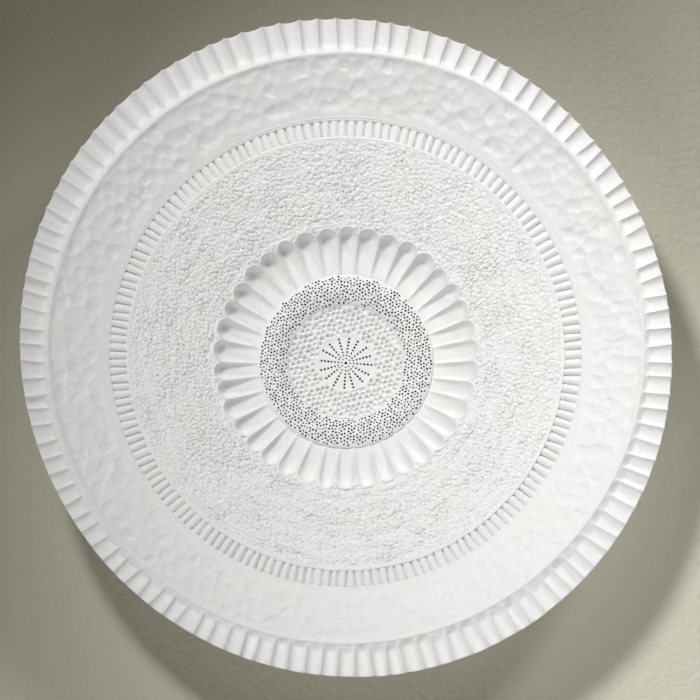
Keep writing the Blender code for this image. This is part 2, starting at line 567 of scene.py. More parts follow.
@dataclass(frozen=True)
class RimFlutes(Band):
    """The rim: concave flutes between sharp crests, from the inner lip to the edge."""

    name: str = "fluted_rim"
    spacing: Spacing = Spacing(118, 0.053, math.radians(-90.0), 0.10, 11)
    columns: int = 16
    steps: int = columns * spacing.count
    sharp: float = 35.0
    lean: float = 0.16
    upright_at: float = 0.3
    roundness: float = 2.6
    wall_share: float = 0.26
    wall_spread: float = 0.25
    depth_spread: float = 0.14
    crest_dip: float = 0.0012
    nick_depth: float = 0.0003
    nick_at: float = 0.075
    edge_round: float = 0.0005
    scallop: float = 0.0003
    scallop_spread: float = 0.5

    def face_radii(self) -> Values:
        """Close together at the step beside the lip and around the edge.

        Returns:
            The radii.
        """
        step = np.array([0.0, 0.15, 0.3, 0.45, 0.6, 0.8, 1.0, 1.25, 1.6, 2.0, 2.5, 3.1]) * MILLIMETRE
        inner = DISC.hammered_outer + step
        outer = np.linspace(inner[-1] + 0.8 * MILLIMETRE, DISC.rim_outer - self.edge_round, 18)
        edge = DISC.rim_outer - self.edge_round * np.array([0.45, 0.12, 0.0])
        return np.concatenate([inner, outer, edge])

    def back_radii(self) -> Values:
        """The thin edge and the slope behind it."""
        return np.array([DISC.hammered_outer, DISC.hammered_outer + 0.5 * DISC.rim_width,
                         DISC.rim_outer - 3.0 * MILLIMETRE, DISC.rim_outer - 1.2 * MILLIMETRE])

    def turn(self, radius: Values, angle: Values) -> Values:
        """Space the flutes and lean each crest a little.

        Args:
            radius: Radii of the points.
            angle: Their angles, evenly spaced.

        Returns:
            Their angles as the hand spaced them.
        """
        share = (radius - DISC.hammered_outer) / DISC.rim_width
        lean = self.spacing.slant(angle, self.lean) * (share - self.upright_at)
        return self.spacing.angles(angle) + lean * between(share, 0.0, 0.15)

    def press(self, face: Face) -> None:
        """Press a flute between each two crests, deepest beside the lip.

        Args:
            face: The face's points, which are moved.
        """
        even = face.even
        share = (face.radius - DISC.hammered_outer) / DISC.rim_width
        _, across = self.spacing.place(even)
        hollow = 1.0 - np.abs(2.0 * across - 1.0) ** self.roundness
        wall = self.wall_share * self.spacing.vary(even, self.wall_spread, 2)
        crest_dip = self.crest_dip * np.sin(math.pi * np.clip(share, 0.0, 1.0) ** 0.6)
        floor = DISC.flute_step + (DISC.flute_depth - DISC.flute_step) * share
        floor = floor * self.spacing.vary(even, self.depth_spread, 3) * smooth((share - 0.01) / wall)
        nick = self.nick_depth * mound(across - 0.5, 0.22) * mound(share - self.nick_at, 0.035)
        edge = np.clip((share - 1.0) / (self.edge_round / DISC.rim_width) + 1.0, 0.0, 1.0)
        rounding = self.edge_round * (1.0 - np.sqrt(np.clip(1.0 - edge ** 2, 0.0, 1.0)))
        drawn = self.scallop * hollow * self.spacing.vary(even, self.scallop_spread, 4)
        face.height = face.height - crest_dip - hollow * floor - nick * hollow - rounding
        face.radius = face.radius - drawn * between(share, 0.7, 1.0)


@dataclass(frozen=True)
class HammeredSlope(Band):
    """Smooth slope inside the rim, with soft overlapping hammer marks and a rounded lip."""

    name: str = "hammered_slope"
    steps: int = 1200
    mark_size: float = 0.0074
    mark_depth: float = 0.00125
    mark_reach: float = 0.9
    mark_drift: float = 0.0012
    drift_size: float = 0.014
    swell_size: float = 0.022
    swell_height: float = 0.0005
    lip_height: float = 0.0003
    wear_size: float = 0.012

    def face_radii(self) -> Values:
        """Even across the slope, and closer at both lips.

        Returns:
            The radii.
        """
        inner = DISC.reed_outer + np.array([0.0, 0.25, 0.5, 0.75, 1.0, 1.3, 1.7]) * MILLIMETRE
        lip = np.array([2.4, 2.0, 1.6, 1.3, 1.0, 0.75, 0.5, 0.3, 0.15, 0.0]) * MILLIMETRE
        outer = DISC.hammered_outer - lip
        middle = np.linspace(inner[-1] + 0.8 * MILLIMETRE, outer[0] - 0.7 * MILLIMETRE, 32)
        return np.concatenate([inner, middle, outer])

    def press(self, face: Face) -> None:
        """Hammer the slope and raise a bead along both lips.

        Args:
            face: The face's points, which are moved.
        """
        x, z = face.flat()
        across = x + self.mark_drift * HAND.swell(x, z, self.drift_size)
        up = z + self.mark_drift * HAND.swell(x, z, self.drift_size, 1)
        nearest, second, kept = HAND.lumps(across, up, self.mark_size)
        scoop = np.clip(nearest / self.mark_reach, 0.0, 1.0) ** 2 - 1.0
        mark = scoop * (0.8 + 0.2 * between(second - nearest, 0.0, 0.25))
        depth = self.mark_depth * (0.45 + 1.1 * kept)
        inside = face.radius - DISC.reed_outer
        outside = DISC.hammered_outer - face.radius
        calm = between(inside, 0.002, 0.009) * between(outside, 0.0005, 0.004)
        swell = self.swell_height * HAND.rough(x, z, self.swell_size, 2)
        swell = swell * between(inside, 0.0, 0.008) * between(outside, 0.0, 0.008)
        worn = 0.6 + 0.4 * HAND.swell(x, z, self.wear_size, 2)
        outer_bead = self.lip_height * worn * mound(outside - 0.0009, 0.0011)
        outer_bead = outer_bead * between(outside, -0.0006, 0.0006)
        lips = self.lip_height * mound(inside - 0.0006, 0.0006) + outer_bead
        face.height = face.height + mark * depth * calm + swell + lips


@dataclass(frozen=True)
class ReedRing(Band):
    """Narrow rounded reeds, sunk between two plain lips."""

    name: str = "reed_ring"
    spacing: Spacing = Spacing(170, 0.057, math.radians(-151.0), 0.09, 23)
    columns: int = 10
    steps: int = columns * spacing.count
    sharp: float = 60.0
    lean: float = 0.22
    lip_width: float = 0.0009
    lip_height: float = 0.15 * MILLIMETRE
    lip_spread: float = 0.25
    depth_spread: float = 0.18
    slit_depth: float = 0.0007
    slit_width: float = 0.09

    def face_radii(self) -> Values:
        """Even along the reeds, and closer at their ends.

        Returns:
            The radii.
        """
        inner_end = np.array([0.0, 0.3, 0.6, 0.85, 1.05, 1.25, 1.45, 1.7, 2.0, 2.4]) * MILLIMETRE
        outer_end = np.array([2.2, 1.8, 1.5, 1.25, 1.05, 0.85, 0.65, 0.45, 0.25, 0.0]) * MILLIMETRE
        inner = DISC.grained_outer + inner_end
        outer = DISC.reed_outer - outer_end
        middle = np.linspace(inner[-1] + 0.6 * MILLIMETRE, outer[0] - 0.6 * MILLIMETRE, 10)
        return np.concatenate([inner, middle, outer])

    def turn(self, radius: Values, angle: Values) -> Values:
        """Space the reeds and lean each a little."""
        share = (radius - DISC.grained_outer) / DISC.reed_length
        return self.spacing.angles(angle) + self.spacing.slant(angle, self.lean) * (share - 0.5)

    def press(self, face: Face) -> None:
        """Press the grooves and round the reeds' ends off against the lips.

        Args:
            face: The face's points, which are moved.
        """
        radius, even = face.radius, face.even
        _, across = self.spacing.place(even)
        inside = radius - DISC.grained_outer - self.lip_width * self.spacing.vary(even, self.lip_spread, 2)
        outside = DISC.reed_outer - self.lip_width - radius
        bed = between(inside, -0.0003, 0.0005) * between(outside, -0.0003, 0.0005)
        ends = between(inside, -0.0002, 0.0011) * between(outside, -0.0002, 0.0011)
        groove = mound(np.minimum(across, 1.0 - across), self.slit_width)
        slit = self.slit_depth * groove * between(ends, 0.1, 0.7)
        reed = np.sin(math.pi * across) ** 0.9 * (0.75 + 0.25 * ends)
        depth = DISC.reed_depth * self.spacing.vary(even, self.depth_spread, 3)
        sunk = bed * (self.lip_height + depth * (1.0 - reed) + slit)
        face.height = face.height - sunk + self.lip_height * (1.0 - bed)


@dataclass(frozen=True)
class Clots:
    """Small clotted lumps of two sizes over slow swells and faint ripples."""

    pitch: float = 0.0025
    height: float = 0.00165
    fine_pitch: float = 0.0014
    fine_height: float = 0.00070
    drift: float = 0.0007
    drift_size: float = 0.0060
    thick_size: float = 0.011
    swell_size: float = 0.016
    swell_height: float = 0.0003
    ripple_pitch: float = 0.0085
    ripple_height: float = 0.00022
    ripple_drift: float = 0.004
    sink: float = 0.0012

    def heights(self, radius: Values, angle: Values) -> Values:
        """Heights that the clots add to the face.

        Args:
            radius: Radii of the points.
            angle: Angles of the points.

        Returns:
            One height for each point.
        """
        x, z = radius * np.cos(angle), radius * np.sin(angle)
        flow_x = x + self.drift * HAND.swell(x, z, self.drift_size, 2)
        flow_z = z + self.drift * HAND.swell(x, z, self.drift_size, 3)
        near, second, kept = HAND.lumps(flow_x + 0.2 * flow_z, flow_z - 0.2 * flow_x, self.pitch)
        dome = np.clip(1.0 - 1.3 * near ** 2, 0.0, 1.0)
        clot = (0.55 * between(second - near, 0.0, 0.30) + 0.60 * dome) * (0.6 + 0.4 * kept)
        near, second, kept = HAND.lumps(flow_z + 0.07, 0.9 * flow_x - 0.05, self.fine_pitch)
        grain = between(second - near, 0.0, 0.42) * (0.4 + 0.6 * kept)
        thick = 0.86 + 0.24 * HAND.swell(x, z, self.thick_size, 1)
        crests = (radius + self.ripple_drift * HAND.swell(x, z, 0.03)) * TURN / self.ripple_pitch
        ripple = np.sin(crests + 2.0 * angle)
        slow = self.swell_height * HAND.rough(x, z, self.swell_size, 2)
        slow = slow + self.ripple_height * ripple * (1.0 - 0.6 * np.sin(angle))
        return slow + self.height * clot * thick + self.fine_height * grain * thick - self.sink


CLOTS = Clots()


@dataclass(frozen=True, kw_only=True)
class GrainedField(Band):
    """Part of the wide field of small clotted lumps, with faint ripples around the disc."""

    inner: float
    outer: float
    rows: int = 54
    steps: int = 1500
    sharp: float = 75.0
    calm_width: float = 0.0022

    def face_radii(self) -> Values:
        """Even across the field."""
        return np.linspace(self.inner, self.outer, self.rows)

    def back_radii(self) -> Values:
        """Both ends of the straight back."""
        return np.array([self.inner, self.outer])

    def press(self, face: Face) -> None:
        """Stipple the clay into clotted lumps that drift around the disc."""
        calm = between(DISC.grained_outer - face.radius, 0.0, self.calm_width)
        face.height = face.height + calm * CLOTS.heights(face.radius, face.angle)


@dataclass(frozen=True)
class PetalRing(Band):
    """Scooped petals with steep rounded outer ends, and the narrow raised margin around them."""

    name: str = "petal_ring"
    spacing: Spacing = Spacing(38, 0.02, math.radians(-60.0), 0.07, 31)
    columns: int = 22
    steps: int = columns * spacing.count
    sharp: float = 60.0
    lean: float = 0.10
    floor_power: float = 5.0
    end_power: float = 2.6
    scoop_share: float = 0.94
    end_share: float = 0.86
    end_spread: float = 0.10
    start_depth: float = 0.14
    rise_power: float = 1.05
    depth_spread: float = 0.07
    margin_height: float = 0.0006
    ridge_share: float = 0.28

    def face_radii(self) -> Values:
        """Closer together along the steep outer ends.

        Returns:
            The radii.
        """
        floor = np.linspace(DISC.pricked_outer, DISC.petal_outer - 0.010, 26)
        end = np.linspace(floor[-1] + 0.00045, DISC.petal_outer + 0.0010, 26)
        margin = np.linspace(end[-1] + 0.0005, DISC.petal_outer + DISC.margin_width, 8)
        return np.concatenate([floor, end, margin])

    def flatness(self, share: Values) -> Values:
        """Power of the scoop's profile, flat between thin ridges and round at the outer end."""
        return self.floor_power - (self.floor_power - self.end_power) * between(share, 0.45, 1.0)

    def turn(self, radius: Values, angle: Values) -> Values:
        """Space the petals and lean each a little."""
        share = (radius - DISC.pricked_outer) / DISC.petal_length
        return self.spacing.angles(angle) + self.spacing.slant(angle, self.lean) * (share - 0.5)

    def press(self, face: Face) -> None:
        """Scoop each petal as a long trough with a round end.

        Args:
            face: The face's points, which are moved.
        """
        radius, even = face.radius, face.even
        _, across = self.spacing.place(even)
        pitch = TURN * radius / self.spacing.count
        half = 0.5 * pitch * self.scoop_share
        end_half = 0.5 * TURN * DISC.petal_outer / self.spacing.count * self.end_share
        end_centre = DISC.petal_outer - end_half * self.spacing.vary(even, self.end_spread, 2)
        sideways = np.abs(across - 0.5) * pitch
        beyond = np.maximum(0.0, radius - end_centre)
        reach = np.hypot(beyond, sideways) / end_half
        spread = np.where(beyond > 0.0, reach, sideways / half)
        share = np.clip((radius - DISC.pricked_outer) / (end_centre - DISC.pricked_outer), 0.0, 1.0)
        rise = np.sin(0.5 * math.pi * share) ** self.rise_power
        depth = DISC.petal_depth * (self.start_depth + (1.0 - self.start_depth) * rise)
        depth = depth * self.spacing.vary(even, self.depth_spread, 3)
        ridge = self.ridge_share * depth * between(DISC.petal_outer - radius, 0.001, 0.009)
        scoop = np.clip(1.0 - np.clip(spread, 0.0, 1.0) ** self.flatness(share), 0.0, 1.0)
        margin = self.margin_height * mound(reach - 1.06, 0.09) * between(beyond, 0.0, 0.004)
        margin = margin * between(DISC.petal_outer + DISC.margin_width - radius, 0.0, 0.003)
        grained = between(reach, 1.08, 1.24) * between(beyond, 0.0, 0.002)
        clots = grained * CLOTS.heights(radius, face.angle)
        face.height = face.height - ridge - (depth - ridge) * scoop + margin + clots


@dataclass(frozen=True)
class DimpledHollow(Band):
    """Hollow around the medallion, with slanting rows of soft dimples."""

    name: str = "dimpled_hollow"
    steps: int = 520
    sharp: float = 60.0
    dimple_pitch: float = 0.00350
    dimple_radius: float = 0.00166
    dimple_depth: float = 0.00210
    row_angle: float = math.radians(14.0)
    slip: float = 0.22
    edge_width: float = 0.0012
    step_height: float = 0.0004
    sag: float = 0.0007

    def face_radii(self) -> Values:
        """Even across the hollow."""
        return np.linspace(DISC.medallion_radius, DISC.dimpled_outer, 48)

    def back_radii(self) -> Values:
        """Both ends of the flat foot."""
        return np.array([DISC.medallion_radius, DISC.dimpled_outer])

    def press(self, face: Face) -> None:
        """Press the dimples, one row after another.

        Args:
            face: The face's points, which are moved.
        """
        centres = scatter(self.dimple_pitch, self.row_angle, self.slip,
                          DISC.medallion_radius + self.edge_width, DISC.dimpled_outer - 0.0004, 41, 1)
        strengths = np.random.RandomState(43).uniform(0.75, 1.25, len(centres))
        far, owner = nearest_mark(*face.flat(), centres)
        hollow = np.clip(1.0 - (far / self.dimple_radius) ** 2, 0.0, 1.0)
        inside = face.radius - DISC.medallion_radius
        step = self.step_height * between(inside, 0.0001, self.edge_width)
        sag = self.sag * np.sin(math.pi * inside / DISC.dimpled_width)
        dimples = self.dimple_depth * strengths[owner] * hollow ** 1.25
        face.height = face.height + step - sag - between(inside, 0.0, self.edge_width) * dimples


def scatter(pitch: float, row_angle: float, jitter: float, inner: float, outer: float, seed: int,
            relaxed: int) -> Values:
    """Places of marks set by hand in staggered rows over a ring.

    Args:
        pitch: Distance between marks.
        row_angle: Direction of the rows.
        jitter: Largest slip of a mark, as a share of the pitch.
        inner: Inner radius of the ring.
        outer: Outer radius of the ring.
        seed: Number that fixes the slips.
        relaxed: How many times marks that are too close are pushed apart.

    Returns:
        One row of x and z for each mark.
    """
    reach = int(outer / pitch * 1.3) + 2
    rows, places = np.meshgrid(np.arange(-reach, reach + 1), np.arange(-reach, reach + 1), indexing="ij")
    along = (places + 0.5 * (rows % 2)) * pitch
    over = rows * pitch * math.sqrt(0.75)
    marks = np.stack([along * math.cos(row_angle) - over * math.sin(row_angle),
                      along * math.sin(row_angle) + over * math.cos(row_angle)], axis=-1).reshape(-1, 2)
    marks += np.random.RandomState(seed).uniform(-jitter, jitter, marks.shape) * pitch
    for _ in range(relaxed):
        offsets = marks[:, None] - marks[None]
        far = np.hypot(offsets[..., 0], offsets[..., 1]) + 1e-9
        np.fill_diagonal(far, 1.0)
        push = np.clip(0.85 * pitch - far, 0.0, None) / far
        marks = marks + 0.4 * (offsets * push[..., None]).sum(axis=1)
    radius = np.hypot(marks[:, 0], marks[:, 1])
    return marks[(radius > inner) & (radius < outer)]


def nearest_mark(x: Values, z: Values, marks: Values) -> tuple[Values, Values]:
    """Distance from each point to the nearest mark, and which mark that is.

    Args:
        x: Points' places across.
        z: Points' places up.
        marks: One row of x and z for each mark.

    Returns:
        The distances and the marks' numbers.
    """
    far = np.empty(len(x))
    owner = np.empty(len(x), dtype=int)
    for start in range(0, len(x), CHUNK):
        part = slice(start, start + CHUNK)
        gaps = (x[part, None] - marks[:, 0]) ** 2 + (z[part, None] - marks[:, 1]) ** 2
        owner[part] = gaps.argmin(axis=1)
        far[part] = np.sqrt(gaps.min(axis=1))
    return far, owner


@dataclass
class Pricks:
    """Holes pricked into a piece: their places, radii and depth."""

    places: Values
    radii: Values
    depth: float
    sides: int = 9
    mouth: float = 1.32
    mouth_depth: float = 0.00016
    gap_share: float = 0.47

    def __post_init__(self) -> None:
        """Narrow any hole whose mouth would run into its neighbour's."""
        far = np.hypot(*(self.places[:, None] - self.places[None]).transpose(2, 0, 1))
        np.fill_diagonal(far, 1.0)
        self.radii = np.minimum(self.radii, self.gap_share * far.min(axis=1) / self.mouth)

    def rings(self) -> tuple[tuple[float, float, float], ...]:
        """Size as a share of the mouth, depth, and share of painted shade of each ring below the mouth."""
        return ((1.0 / self.mouth, self.mouth_depth, 0.0),
                (0.94 / self.mouth, 3.0 * self.mouth_depth, 0.7),
                (0.80 / self.mouth, self.depth, 1.0))


class Shell:
    """A closed piece in the making: its points, each point's share of painted shade inside the holes, and its
    faces.
    """

    def __init__(self, faces: list[list[int]]) -> None:
        """Start from the faces of the front.

        Args:
            faces: The point numbers of each.
        """
        self.faces = faces
        self._points: list[Values] = []
        self._pit_shades: list[Values] = []
        self._count = 0

    def add(self, radius: Values, angle: Values, height: Values, pit_shade: float) -> list[int]:
        """Add points of the disc.

        Args:
            radius: Their radii on the true circle.
            angle: Their angles.
            height: Their heights in front of the wall.
            pit_shade: Their share of painted shade, from 0 to 1, greater deeper in a hole.

        Returns:
            The points' numbers.
        """
        self._points.append(to_points(radius, angle, height))
        self._pit_shades.append(np.full(len(radius), pit_shade))
        first, self._count = self._count, self._count + len(radius)
        return list(range(first, self._count))

    def piece(self, name: str) -> bpy.types.Object:
        """Make the piece, with each point's share of painted shade as an attribute.

        Args:
            name: Name of the piece.

        Returns:
            The piece, in the scene.
        """
        mesh = bpy.data.meshes.new(name)
        faces = [list(map(int, face)) for face in self.faces]
        mesh.from_pydata(np.concatenate(self._points).tolist(), [], faces)
        mesh.validate()
        # This attribute holds painted shade: none at a hole's mouth, more on each ring deeper in.
        pit_shade = mesh.attributes.new("pit_shade", "FLOAT", "POINT")
        pit_shade.data.foreach_set("value", np.concatenate(self._pit_shades).astype(np.float32))
        piece = bpy.data.objects.new(name, mesh)
        bpy.context.scene.collection.objects.link(piece)
        return piece


@dataclass(frozen=True)
class PrickedPiece:
    """A closed piece of the disc whose face is triangulated around real holes."""

    name: str
    inner: float
    outer: float
    back_radii: tuple[float, ...]
    edge_points: int
    fill_pitch: float = 0.00075
    sharp: float = 40.0

    def pricks(self) -> Pricks:
        """The holes of this piece."""
        raise NotImplementedError

    def face_height(self, x: Values, z: Values) -> Values:
        """Height of the face at each point, before it is pricked."""
        raise NotImplementedError

    def fill(self, pricks: Pricks) -> Values:
        """Points between the holes that carry the face's shape.

        Args:
            pricks: The holes.

        Returns:
            One row of x and z for each point.
        """
        marks = scatter(self.fill_pitch, 0.4, 0.2, self.inner + 0.35 * self.fill_pitch,
                        self.outer - 0.6 * self.fill_pitch, 5, 0)
        far, owner = nearest_mark(marks[:, 0], marks[:, 1], pricks.places)
        return marks[far > pricks.radii[owner] * pricks.mouth + 0.3 * self.fill_pitch]

    def triangulate(self, pricks: Pricks) -> tuple[Values, Values, list, list]:
        """Triangulate the face between its edges and its holes.

        Args:
            pricks: The holes.

        Returns:
            The points' places, their labels, the triangles, and the edge circles' indices.
        """
        points, labels, edges, circles = [], [], [], []

        def circle(centre: tuple[float, float], radius: float, count: int, label: int) -> None:
            """Add a circle of points and the edges between them.

            Args:
                centre: Its centre's place across and up.
                radius: Its radius.
                count: Number of points.
                label: What the points are labelled as.
            """
            first = len(points)
            for index in range(count):
                angle = TURN * index / count
                points.append((centre[0] + radius * math.cos(angle), centre[1] + radius * math.sin(angle)))
                labels.append(label)
                edges.append((first + index, first + (index + 1) % count))
            if label < 0:
                circles.append(list(range(first, first + count)))

        for number, (place, radius) in enumerate(zip(pricks.places, pricks.radii)):
            circle(tuple(place), radius * pricks.mouth, pricks.sides, number)
        circle((0.0, 0.0), self.outer, self.edge_points, Spot.OUTER_EDGE.value)
        if self.inner > 0.0:
            circle((0.0, 0.0), self.inner, self.edge_points, Spot.INNER_EDGE.value)
        for place in self.fill(pricks):
            points.append(tuple(place))
            labels.append(Spot.SURFACE.value)
        found, _, faces, origins, *_ = geometry.delaunay_2d_cdt(points, edges, [], 0, 1e-9)
        order = [origin[0] for origin in origins]
        if len(found) != len(points):
            LOG.warning("%s: %d points became %d", self.name, len(points), len(found))
        labels = np.array(labels)
        kept = []
        for face in faces:
            corners = [order[corner] for corner in face]
            names = set(labels[corners])
            if names != {Spot.INNER_EDGE.value} and not (len(names) == 1 and min(names) >= 0):
                kept.append(corners)
        return np.array(points), labels, kept, circles

    def build(self) -> bpy.types.Object:
        """Triangulate the face, sink the holes and close the sides and back.

        Returns:
            The finished piece.
        """
        pricks = self.pricks()
        flat, labels, faces, circles = self.triangulate(pricks)
        shell = Shell(faces)
        angle = np.arctan2(flat[:, 1], flat[:, 0])
        shell.add(np.hypot(flat[:, 0], flat[:, 1]), angle, self.face_height(flat[:, 0], flat[:, 1]), 0.0)
        for number, place in enumerate(pricks.places):
            previous = np.flatnonzero(labels == number).tolist()
            ring = flat[previous] - place
            level = float(self.face_height(place[:1], place[1:])[0])
            # Each ring sinks deeper into the hole and takes a larger share of painted shade.
            for share, sink, pit_shade in pricks.rings():
                spots = place + ring * share
                far, turn = np.hypot(spots[:, 0], spots[:, 1]), np.arctan2(spots[:, 1], spots[:, 0])
                lower = shell.add(far, turn, np.full(len(spots), level - sink), pit_shade)
                shell.faces += band_faces(previous, lower)
                previous = lower
            shell.faces.append(previous)
        previous = circles[0]
        turn = angle[previous]
        for back in self.back_radii:
            distance = np.full(len(turn), back)
            lower = shell.add(distance, turn, DISC.back_height(distance), 0.0)
            shell.faces += band_faces(lower, previous)
            previous = lower
        shell.faces += band_faces(circles[1], previous) if self.inner > 0.0 else [previous]
        piece = shell.piece(self.name)
        self.settle(piece)
        return piece

    def settle(self, piece: bpy.types.Object) -> None:
        """Make all the faces agree, point them outwards and shade them.

        Args:
            piece: The piece, which is closed.
        """
        pick(piece)
        bpy.ops.object.mode_set(mode="EDIT")
        bpy.ops.mesh.select_all(action="SELECT")
        bpy.ops.mesh.normals_make_consistent(inside=False)
        bpy.ops.object.mode_set(mode="OBJECT")
        face_out(piece)
        smooth_off(piece, self.sharp)


def band_faces(first: list, second: list) -> list:
    """Four-sided faces between two rings with as many points each."""
    count = len(first)
    return [[first[index], first[(index + 1) % count], second[(index + 1) % count], second[index]]
            for index in range(count)]


@dataclass(frozen=True)
class PrickedRing(PrickedPiece):
    """Raised rounded ring, pricked all over with a needle."""

    name: str = "pricked_ring"
    inner: float = DISC.dimpled_outer
    outer: float = DISC.pricked_outer
    back_radii: tuple[float, ...] = (DISC.pricked_outer, DISC.foot_radius, DISC.dimpled_outer)
    edge_points: int = 300
    crown: float = 0.0033
    roundness: float = 0.72
    hole_pitch: float = 0.00222
    hole_depth: float = 0.0032
    least_hole: float = 0.00042
    widest_hole: float = 0.00074
    row_angle: float = math.radians(24.0)
    slip: float = 0.33
    bump_size: float = 0.0022
    bump_height: float = 0.00040

    def pricks(self) -> Pricks:
        """About a thousand needle holes in slanting, slipping rows.

        Returns:
            The holes.
        """
        places = scatter(self.hole_pitch, self.row_angle, self.slip, self.inner + 0.0012,
                         self.outer - 0.0011, 53, 5)
        radii = np.random.RandomState(59).uniform(self.least_hole, self.widest_hole, len(places))
        return Pricks(places, radii, self.hole_depth)

    def face_height(self, x: Values, z: Values) -> Values:
        """The rounded ring, a little bumpy where the needle pushed the clay up.

        Args:
            x: Points' places across.
            z: Points' places up.

        Returns:
            The heights.
        """
        radius = np.hypot(x, z)
        share = np.clip((radius - self.inner) / DISC.pricked_width, 0.0, 1.0)
        rounded = np.sin(math.pi * share) ** self.roundness
        calm = between(share, 0.0, 0.08) * between(1.0 - share, 0.0, 0.08)
        bumps = self.bump_height * HAND.rough(x, z, self.bump_size, 2) * calm
        return DISC.plain_height(radius) + self.crown * rounded + bumps


@dataclass(frozen=True)
class Medallion(PrickedPiece):
    """Flat centre with rays of pricked dots."""

    name: str = "medallion"
    inner: float = 0.0
    outer: float = DISC.medallion_radius
    back_radii: tuple[float, ...] = (DISC.medallion_radius,)
    edge_points: int = 160
    fill_pitch: float = 0.0009
    rays: int = 16
    first_dot: float = 0.0027
    last_dot: float = 0.0156
    middle_dot: float = 0.00092
    end_dot: float = 0.00072
    hole_depth: float = 0.0026
    recess: float = 0.0004
    swell_size: float = 0.006
    swell_height: float = 0.00008

    def pricks(self) -> Pricks:
        """A dot in the middle and rays of dots, the outermost ones a little larger.

        Returns:
            The holes.
        """
        maker = np.random.RandomState(61)
        places, radii = [(0.0, 0.0)], [self.middle_dot]
        for ray in range(self.rays):
            angle = TURN * (ray - 0.22) / self.rays + maker.uniform(-0.035, 0.035)
            bend = maker.uniform(-0.04, 0.04)
            reach = self.last_dot * maker.uniform(0.95, 1.01)
            count = 7 if ray % 2 == 0 else 6
            for index in range(count):
                radius = reach - index * (reach - self.first_dot) / 6.0
                turned = angle + bend * (radius / reach - 0.5)
                places.append((radius * math.cos(turned), radius * math.sin(turned)))
                if index == 0:
                    radii.append(self.end_dot)
                else:
                    radii.append(maker.uniform(0.85, 1.0) * (0.00042 + 0.030 * radius))
        return Pricks(np.array(places), np.array(radii), self.hole_depth)

    def face_height(self, x: Values, z: Values) -> Values:
        """Flat and slightly sunk, and level with the hollow at its edge.

        Args:
            x: Points' places across.
            z: Points' places up.

        Returns:
            The heights.
        """
        sunk = self.recess * between(self.outer - np.hypot(x, z), 0.0, 0.0008)
        swell = self.swell_height * HAND.swell(x, z, self.swell_size) * (sunk > 0.0)
        return DISC.centre_thickness - sunk + swell


class Recipe:
    """A material in the making: its nodes, and the shader that they lead to."""

    def __init__(self, name: str) -> None:
        """Start the material.

        Args:
            name: Name of the material.
        """
        self.material = bpy.data.materials.new(name)
        self.material.use_nodes = True
        self.tree = self.material.node_tree
        self.shader = self.tree.nodes["Principled BSDF"]
        self.place = self.add("ShaderNodeTexCoord", {}).outputs["Object"]

    def fill(self, node: bpy.types.Node, inputs: dict) -> None:
        """Link or set a node's inputs.

        Args:
            node: The node.
            inputs: A socket to link or a plain value to set, for each input.
        """
        for key, value in inputs.items():
            if isinstance(value, bpy.types.NodeSocket):
                self.tree.links.new(value, node.inputs[key])
            else:
                node.inputs[key].default_value = value

    def add(self, kind: str, inputs: dict, **settings: str) -> bpy.types.Node:
        """Add a node.

        Args:
            kind: Blender's name for this kind of node.
            inputs: A socket to link or a plain value to set, for each input.
            **settings: The node's own settings.

        Returns:
            The node.
        """
        node = self.tree.nodes.new(kind)
        for setting, choice in settings.items():
            setattr(node, setting, choice)
        self.fill(node, inputs)
        return node

    def noise(self, scale: float, detail: float) -> Socket:
        """Noise from 0 to 1 with this many repeats to the metre."""
        inputs = {"Vector": self.place, "Scale": scale, "Detail": detail}
        return self.add("ShaderNodeTexNoise", inputs).outputs["Fac"]

    def spread(self, value: Socket, low: float, high: float, first: float = 0.0, last: float = 1.0) -> Socket:
        """Value read from one range into another, and held inside it."""
        inputs = {"Value": value, "From Min": low, "From Max": high, "To Min": first, "To Max": last}
        return self.add("ShaderNodeMapRange", inputs).outputs["Result"]

    def mix(self, share: Socket, first: Socket | Colour, second: Colour) -> Socket:
        """A made or plain colour mixed with a plain one by a share.

        Args:
            share: Share of the second colour.
            first: The first colour.
            second: The second colour.

        Returns:
            The mixed colour.
        """
        start = first if isinstance(first, bpy.types.NodeSocket) else (*first, 1.0)
        inputs = {"Factor": share, "A": start, "B": (*second, 1.0)}
        return self.add("ShaderNodeMix", inputs, data_type="RGBA", blend_type="MIX").outputs["Result"]

    def roughen(self, height: Socket, strength: float, depth: float) -> None:
        """Give the shader's surface a fine tooth of this depth."""
        bump = self.add("ShaderNodeBump", {"Height": height, "Strength": strength, "Distance": depth})
        self.fill(self.shader, {"Normal": bump.outputs["Normal"]})


